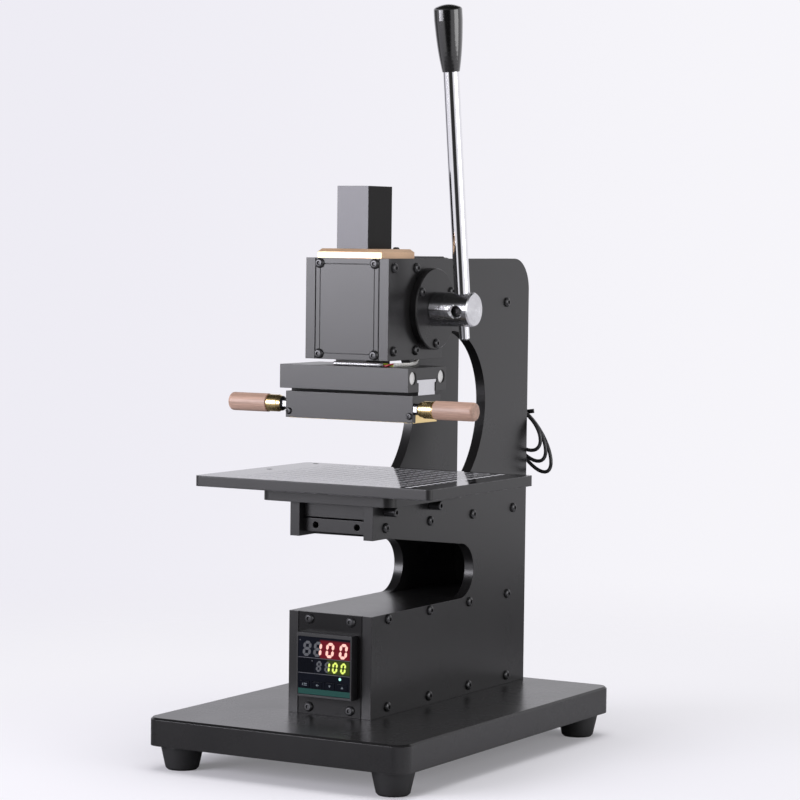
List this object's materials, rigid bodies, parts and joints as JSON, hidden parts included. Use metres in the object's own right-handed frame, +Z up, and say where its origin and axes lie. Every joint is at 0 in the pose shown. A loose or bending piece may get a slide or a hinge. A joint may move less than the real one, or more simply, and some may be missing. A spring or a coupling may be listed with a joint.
{
  "type": "hot foil stamping machine",
  "caption": "Bench hot foil stamping machine: a side lever drives a toothed ram that presses a heated brass die onto a sliding table, with a temperature controller in its foot.",
  "frame": {"origin": "on the floor, under the middle of the base plate", "axes": "+X to the lever's side (right, seen from the front), +Y to the rear, +Z up; the controller and the table face -Y"},
  "size_m": [0.222, 0.3485, 0.5707],
  "materials": {
    "black_anodised": "satin black anodised, fine bead-blast grain",
    "table_black": "polished black anodised with a fine pale grid",
    "foot_rubber": "moulded black rubber",
    "guide_bronze": "machined bronze, satin",
    "turned_steel": "turned bright steel",
    "spring_steel": "oiled spring steel",
    "screw_steel": "black oxide with bright worn sockets",
    "controller_plastic": "moulded black plastic",
    "display_window": "dark smoked window, slate blue",
    "key_plastic": "slate keys",
    "gland_nylon": "black nylon",
    "lead_jacket": "black lead jacket, slight sheen",
    "ram_steel": "ground and dark finished steel",
    "sleeve_fabric": "white glass-fibre sleeve",
    "rail_steel": "bright milled steel",
    "die_brass": "bright brass",
    "handle_wood": "turned beech, pinkish tan, thin lacquer",
    "lever_chrome": "polished chrome",
    "insulating_board": "dark heat-resisting laminate",
    "grip_plastic": "gloss black phenolic"
  },
  "bodies": {
    "frame": {"base_plate": "black_anodised", "rubber_feet": "foot_rubber", "left_side_plate": "black_anodised", "right_side_plate": "black_anodised", "console_bottom_plate": "black_anodised", "console_top_cover": "black_anodised", "console_front_panel": "black_anodised", "rear_cover": "black_anodised", "bed_plate": "black_anodised", "upper_guide_block": "guide_bronze", "lower_guide_block": "guide_bronze", "head_front_cover": "black_anodised", "head_top_cover": "black_anodised", "rear_spacer": "turned_steel", "bearing_flange_right": "black_anodised", "bearing_flange_left": "black_anodised", "return_spring": "spring_steel", "side_screws": "screw_steel", "flange_screws": "screw_steel", "panel_screws": "screw_steel", "controller_case": "controller_plastic", "controller_bezel": "controller_plastic", "controller_window": "display_window", "switch_housing": "controller_plastic", "power_inlet": "controller_plastic", "lead_gland": "gland_nylon", "heater_lead": "lead_jacket", "lead_tie": "gland_nylon"},
    "lever": {"pinion_shaft": "turned_steel", "pinion": "ram_steel", "lever_hub": "turned_steel", "lever_rod": "lever_chrome", "lever_grip": "grip_plastic", "shaft_collar": "turned_steel"},
    "ram": {"ram_column": "ram_steel", "ram_foot_plate": "insulating_board", "heating_block": "black_anodised", "cartridge_heaters": "turned_steel", "probe_lead": "turned_steel", "heater_sleeve": "sleeve_fabric"},
    "mould": {"slide_rail": "rail_steel", "mould_holder": "black_anodised", "brass_die": "die_brass", "die_screws": "screw_steel", "handle_studs": "rail_steel", "handle_collars": "gland_nylon", "handle_ferrules": "die_brass", "handle_left": "handle_wood", "handle_right": "handle_wood"},
    "table": {"table_plate": "table_black", "table_carrier": "black_anodised", "table_rail": "black_anodised"},
    "lock_front": {"lock_screw_front": "screw_steel"},
    "lock_rear": {"lock_screw_rear": "screw_steel"},
    "set_key": {"key_set": "key_plastic"},
    "shift_key": {"key_shift": "key_plastic"},
    "down_key": {"key_down": "key_plastic"},
    "up_key": {"key_up": "key_plastic"},
    "rocker": {"switch_rocker": "controller_plastic"}
  },
  "joints": [
    {"name": "lever_turn", "type": "hinge", "parent": "frame", "child": "lever", "pos_m": [0, -0.0055, 0.3435], "axis": [1, 0, 0], "range_deg": [0, 109.6], "stiffness_Nm_per_rad": 0.4, "springref_deg": -114.59},
    {"name": "ram_slide", "type": "slide", "parent": "frame", "child": "ram", "axis": [0, 0, -1], "range_m": [0, 0.0421]},
    {"name": "mould_slide", "type": "slide", "parent": "ram", "child": "mould", "axis": [1, 0, 0], "range_m": [-0.1, 0.1]},
    {"name": "table_slide", "type": "slide", "parent": "frame", "child": "table", "axis": [0, 1, 0], "range_m": [-0.03, 0.011]},
    {"name": "lock_front_turn", "type": "hinge", "parent": "frame", "child": "lock_front", "pos_m": [0.04, -0.068, 0.1934], "axis": [1, 0, 0], "range_deg": [0, 180]},
    {"name": "lock_rear_turn", "type": "hinge", "parent": "frame", "child": "lock_rear", "pos_m": [0.04, -0.0003, 0.1934], "axis": [1, 0, 0], "range_deg": [0, 180]},
    {"name": "set_press", "type": "slide", "parent": "frame", "child": "set_key", "axis": [0, 1, 0], "range_m": [0, 0.0005], "stiffness_N_per_m": 500, "springref_m": -0.001},
    {"name": "shift_press", "type": "slide", "parent": "frame", "child": "shift_key", "axis": [0, 1, 0], "range_m": [0, 0.0005], "stiffness_N_per_m": 500, "springref_m": -0.001},
    {"name": "down_press", "type": "slide", "parent": "frame", "child": "down_key", "axis": [0, 1, 0], "range_m": [0, 0.0005], "stiffness_N_per_m": 500, "springref_m": -0.001},
    {"name": "up_press", "type": "slide", "parent": "frame", "child": "up_key", "axis": [0, 1, 0], "range_m": [0, 0.0005], "stiffness_N_per_m": 500, "springref_m": -0.001},
    {"name": "rocker_tilt", "type": "hinge", "parent": "frame", "child": "rocker", "pos_m": [-0.012, 0.1565, 0.0975], "axis": [1, 0, 0], "range_deg": [0, 14]}
  ],
  "couplings": [
    {"joint": "ram_slide", "follows": "lever_turn", "m_per_rad": 0.022}
  ]
}
